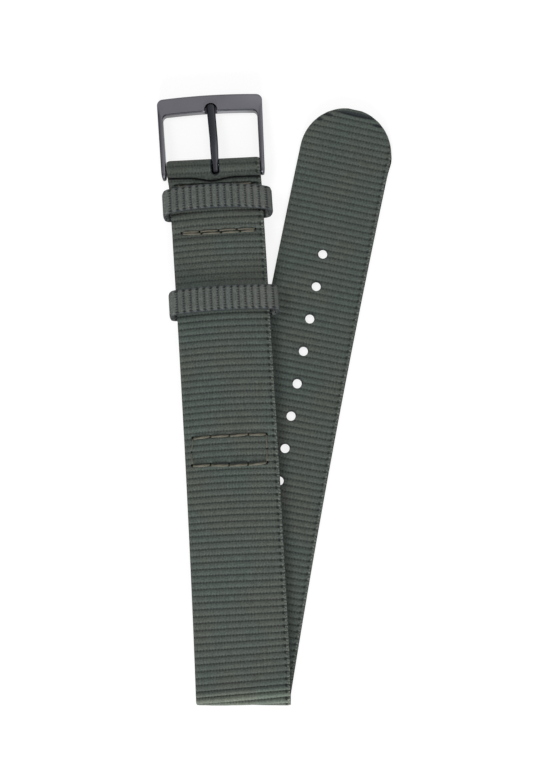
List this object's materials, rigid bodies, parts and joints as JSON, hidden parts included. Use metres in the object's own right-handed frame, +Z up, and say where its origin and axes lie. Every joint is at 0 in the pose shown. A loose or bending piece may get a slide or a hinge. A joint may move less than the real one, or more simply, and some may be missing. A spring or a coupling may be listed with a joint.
{
  "type": "fabric watch strap",
  "caption": "Ribbed fabric watch strap, laid folded, with a pin buckle on a spring bar, a fixed keeper, a sliding keeper and sewn rows that join its layers.",
  "frame": {"origin": "middle of the strap's footprint as it lies folded, on the surface that it lies on", "axes": "+Y along the strap from the fold to the buckle and tip, +X to the side that the tail leans to, +Z up from the surface"},
  "size_m": [0.0506, 0.1331, 0.0071],
  "materials": {
    "webbing": "dark grey-green ribbed nylon webbing, matt with a faint sheen on the ribs",
    "keeper_webbing": "narrow ribbed nylon webbing of the same dark grey-green",
    "thread": "thick tan-brown sewing thread",
    "frame_metal": "dark grey coated steel, satin",
    "tang_metal": "darker grey coated steel, satin",
    "bar_steel": "plain steel"
  },
  "bodies": {
    "tail": {"band_tail": "webbing", "band_bend": "webbing"},
    "front": {"band_front": "webbing", "fixed_keeper": "keeper_webbing", "fixed_keeper_seam": "thread", "loop_seam": "thread", "keeper_seam": "thread", "box_seam": "thread", "bar_tube": "bar_steel", "bar_spring": "bar_steel"},
    "sliding_keeper": {"sliding_keeper": "keeper_webbing", "sliding_keeper_seam": "thread"},
    "tang": {"tang": "tang_metal"},
    "frame": {"buckle_frame": "frame_metal"},
    "plunger_left": {"bar_plunger_left": "bar_steel"},
    "plunger_right": {"bar_plunger_right": "bar_steel"}
  },
  "joints": [
    {"name": "strap_fold", "type": "hinge", "parent": "tail", "child": "front", "pos_m": [-0.00689, -0.06452, 0.0019], "axis": [0.9999, -0.0131, 0], "range_deg": [0, 170], "deforming": ["band_bend"]},
    {"name": "keeper_slide", "type": "slide", "parent": "front", "child": "sliding_keeper", "axis": [-0.0523, 0.9986, 0], "range_m": [-0.0235, 0.01]},
    {"name": "tang_pivot", "type": "hinge", "parent": "front", "child": "tang", "pos_m": [-0.01314, 0.05003, 0.00246], "axis": [0.9986, 0.0523, 0], "range_deg": [-60, 80]},
    {"name": "frame_pivot", "type": "hinge", "parent": "tang", "child": "frame", "pos_m": [-0.01314, 0.05003, 0.00246], "axis": [0.9986, 0.0523, 0], "range_deg": [-60, 0]},
    {"name": "plunger_left_press", "type": "slide", "parent": "front", "child": "plunger_left", "axis": [0.9986, 0.0523, 0], "range_m": [0, 0.001], "stiffness_N_per_m": 300, "springref_m": -0.001, "deforming": ["bar_spring"]},
    {"name": "plunger_right_press", "type": "slide", "parent": "front", "child": "plunger_right", "axis": [-0.9986, -0.0523, 0], "range_m": [0, 0.001], "stiffness_N_per_m": 300, "springref_m": -0.001, "deforming": ["bar_spring"]}
  ]
}
